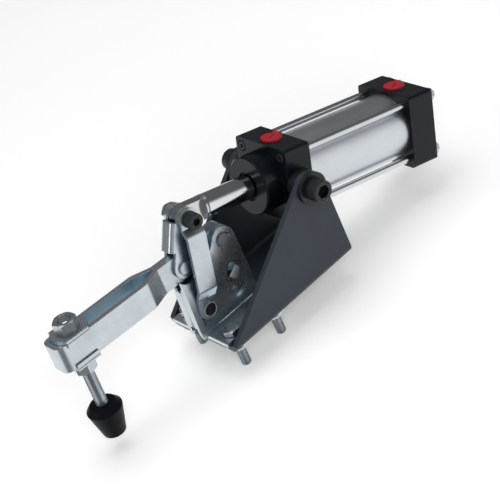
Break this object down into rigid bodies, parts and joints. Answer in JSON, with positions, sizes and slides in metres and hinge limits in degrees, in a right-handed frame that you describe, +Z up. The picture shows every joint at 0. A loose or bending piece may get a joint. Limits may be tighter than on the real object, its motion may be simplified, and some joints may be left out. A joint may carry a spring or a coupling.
{
  "type": "pneumatic clamp",
  "caption": "Toggle clamp worked by an air cylinder: on a folded bracket, joggled links and a folded handle swing a slotted arm with a rubber-tipped spindle.",
  "frame": {"origin": "centre of the four base studs, in the plane under their nuts", "axes": "+X to the cylinder's rear, -X along the clamp arm, +Z up from the base, y = 0 the middle plane"},
  "size_m": [0.3901, 0.1178, 0.1377],
  "materials": {
    "black_paint": "satin",
    "zinc": "bright zinc plating",
    "fastener_steel": "zinc plated",
    "bright_steel": "ground",
    "black_oxide": "black oxide",
    "black_anodised": "satin black anodised",
    "tube_aluminium": "satin anodised",
    "chrome": "polished hard chrome",
    "bronze": "sintered bronze",
    "seal_rubber": "moulded",
    "tip_rubber": "moulded",
    "bearing_plastic": "plain",
    "red_plastic": "moulded"
  },
  "bodies": {
    "frame": {"bracket": "black_paint", "base_plate_left": "zinc", "base_plate_right": "zinc", "base_bolts": "fastener_steel", "base_nuts": "fastener_steel", "arm_pivot_rivets": "zinc", "link_pivot_pin": "black_oxide"},
    "links": {"link_left": "zinc", "link_right": "zinc", "link_pivot_rings": "zinc", "drive_screw": "black_oxide", "drive_washers": "black_oxide", "drive_nut": "fastener_steel"},
    "handle": {"handle": "zinc", "handle_rivet": "zinc"},
    "arm": {"arm": "zinc", "arm_bush": "bronze", "arm_handle_bush": "bronze"},
    "carriage": {"spindle_washer_top": "zinc", "spindle_washer_bottom": "zinc", "spindle_nuts": "fastener_steel"},
    "spindle": {"spindle_bolt": "fastener_steel", "rubber_cap": "tip_rubber"},
    "cylinder": {"front_cap": "black_anodised", "rear_cap": "black_anodised", "barrel": "tube_aluminium", "tie_rods": "bright_steel", "tie_rod_nuts": "fastener_steel", "barrel_seals": "seal_rubber", "trunnion_screws": "black_oxide", "trunnion_washers": "black_oxide", "trunnion_bushes": "black_oxide", "port_plugs": "red_plastic", "rod_wiper": "seal_rubber", "rod_bush": "bronze", "rod_seal": "seal_rubber"},
    "rod": {"piston_rod": "chrome", "rod_end": "bright_steel", "rod_end_bush": "bronze", "piston": "tube_aluminium", "piston_seals": "seal_rubber", "wear_ring": "bearing_plastic", "piston_nut": "fastener_steel"}
  },
  "joints": [
    {"name": "link_swing", "type": "hinge", "parent": "frame", "child": "links", "pos_m": [-0.0206, 0, 0.034], "axis": [0, 1, 0], "range_deg": [-2.03, 39.71]},
    {"name": "handle_swing", "type": "hinge", "parent": "links", "child": "handle", "pos_m": [-0.00199, 0, 0.11067], "axis": [0, 1, 0], "range_deg": [-4.13, 75.29]},
    {"name": "arm_swing", "type": "hinge", "parent": "handle", "child": "arm", "pos_m": [-0.02201, 0, 0.07662], "axis": [0, 1, 0], "range_deg": [-24.99, 1.56]},
    {"name": "cylinder_tilt", "type": "hinge", "parent": "frame", "child": "cylinder", "pos_m": [0.088, 0, 0.0827], "axis": [0, 1, 0], "range_deg": [-19.59, 1.29]},
    {"name": "rod_stroke", "type": "slide", "parent": "cylinder", "child": "rod", "axis": [0.9549, 0, -0.2968], "range_m": [-0.003, 0.0494]},
    {"name": "spindle_reach", "type": "slide", "parent": "arm", "child": "carriage", "axis": [0.9978, 0, -0.0663], "range_m": [-0.005, 0.058]},
    {"name": "spindle_height", "type": "slide", "parent": "carriage", "child": "spindle", "axis": [0.0663, 0, 0.9978], "range_m": [0, 0.03]}
  ],
  "couplings": [
    {"joint": "handle_swing", "follows": "link_swing", "ratio": 1.8884},
    {"joint": "arm_swing", "follows": "link_swing", "ratio": -0.62176},
    {"joint": "cylinder_tilt", "follows": "link_swing", "ratio": -0.48585},
    {"joint": "rod_stroke", "follows": "link_swing", "m_per_rad": 0.070577}
  ]
}
